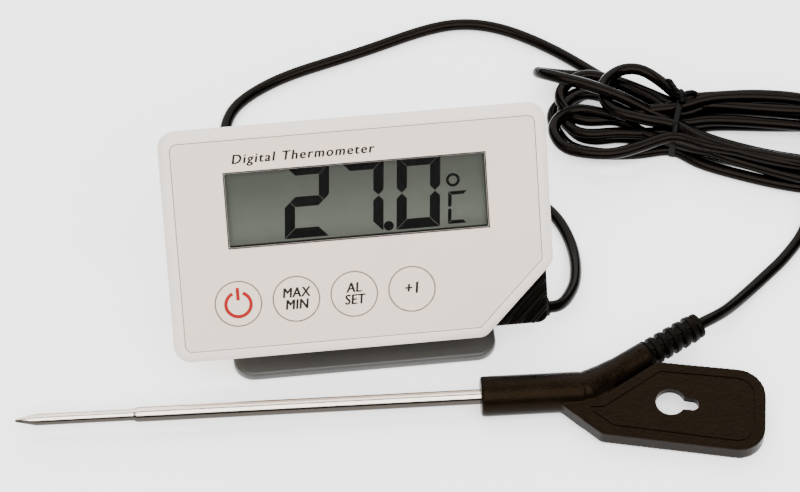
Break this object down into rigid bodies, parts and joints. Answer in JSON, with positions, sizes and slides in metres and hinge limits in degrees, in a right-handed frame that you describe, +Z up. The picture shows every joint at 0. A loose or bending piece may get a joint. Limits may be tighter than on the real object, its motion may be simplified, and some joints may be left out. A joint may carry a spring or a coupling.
{
  "type": "darkroom thermometer",
  "caption": "Digital darkroom thermometer: display case with keys on a fold-out stand, and a steel probe with a hanging paddle on a tied black cable.",
  "frame": {"origin": "centre of the bottom of the bounding box of the case, stand and probe, on the table", "axes": "+X along the case's width towards its cut corner, +Z up, the display faces -Y and up"},
  "size_m": [0.2582, 0.1742, 0.0665],
  "materials": {
    "case_white": "fine satin",
    "film_beige": "printed film",
    "clear": "clear",
    "lcd": "gray-green",
    "bezel_white": "satin",
    "rubber_gray": "matt",
    "board_green": "solder mask",
    "metal": "plated",
    "rubber_black": "matt",
    "component_brown": "moulded",
    "brass": "plated",
    "wire_red": "insulation",
    "screw_steel": "zinc plated",
    "cell": "printed sleeve",
    "black_plastic": "fine texture",
    "stand_gray": "satin",
    "probe_steel": "bright drawn",
    "cable_black": "smooth sheath"
  },
  "bodies": {
    "case": {"front_shell": "case_white", "keypad_film": "film_beige", "display_window": "clear", "lcd_glass": "lcd", "lcd_reflector": "bezel_white", "lcd_bezel": "bezel_white", "zebra_strips": "rubber_gray", "circuit_board": "board_green", "tact_switches": "metal", "controller_chip": "rubber_black", "quartz_crystal": "metal", "capacitors": "component_brown", "chip_resistors": "component_brown", "buzzer": "brass", "wire_terminal": "bezel_white", "lead_wires": "wire_red", "rear_shell": "case_white", "case_gasket": "rubber_gray", "case_screws": "screw_steel", "battery": "cell", "battery_cradle": "black_plastic", "plus_contact": "brass", "minus_spring": "metal", "corner_gland": "black_plastic", "hinge_pins": "screw_steel", "cable_gland_run": "cable_black", "cable_hank": "cable_black", "cable_probe_run": "cable_black", "cable_tie": "black_plastic"},
    "power_key": {"power_key": "film_beige"},
    "max_min_key": {"max_min_key": "film_beige"},
    "set_key": {"set_key": "film_beige"},
    "step_key": {"step_key": "film_beige"},
    "battery_door": {"battery_door": "case_white", "door_gasket": "rubber_gray", "door_screws": "screw_steel"},
    "stand": {"stand_plate": "stand_gray", "stand_magnets": "metal", "stand_pads": "rubber_black"},
    "probe": {"probe_handle": "black_plastic", "strain_relief": "rubber_black", "probe_tube": "probe_steel", "sensor_bead": "component_brown", "sensor_wires": "wire_red", "tip_filling": "bezel_white", "crimp_sleeve": "brass", "handle_cable": "cable_black"}
  },
  "joints": [
    {"name": "stand_fold", "type": "hinge", "parent": "case", "child": "stand", "pos_m": [-0.0056, 0.01203, 0.00533], "axis": [1, 0, 0], "range_deg": [0, 54]},
    {"name": "power_press", "type": "slide", "parent": "case", "child": "power_key", "axis": [0, 0.809, -0.5878], "range_m": [0, 0.0004], "stiffness_N_per_m": 900, "springref_m": -0.0003},
    {"name": "max_min_press", "type": "slide", "parent": "case", "child": "max_min_key", "axis": [0, 0.809, -0.5878], "range_m": [0, 0.0004], "stiffness_N_per_m": 900, "springref_m": -0.0003},
    {"name": "set_press", "type": "slide", "parent": "case", "child": "set_key", "axis": [0, 0.809, -0.5878], "range_m": [0, 0.0004], "stiffness_N_per_m": 900, "springref_m": -0.0003},
    {"name": "step_press", "type": "slide", "parent": "case", "child": "step_key", "axis": [0, 0.809, -0.5878], "range_m": [0, 0.0004], "stiffness_N_per_m": 900, "springref_m": -0.0003},
    {"name": "battery_door_lift", "type": "slide", "parent": "case", "child": "battery_door", "axis": [0, 0.809, -0.5878], "range_m": [0, 0.012]},
    {"name": "probe_lift", "type": "slide", "parent": "case", "child": "probe", "axis": [0, 0, 1], "range_m": [0, 0.03]}
  ]
}
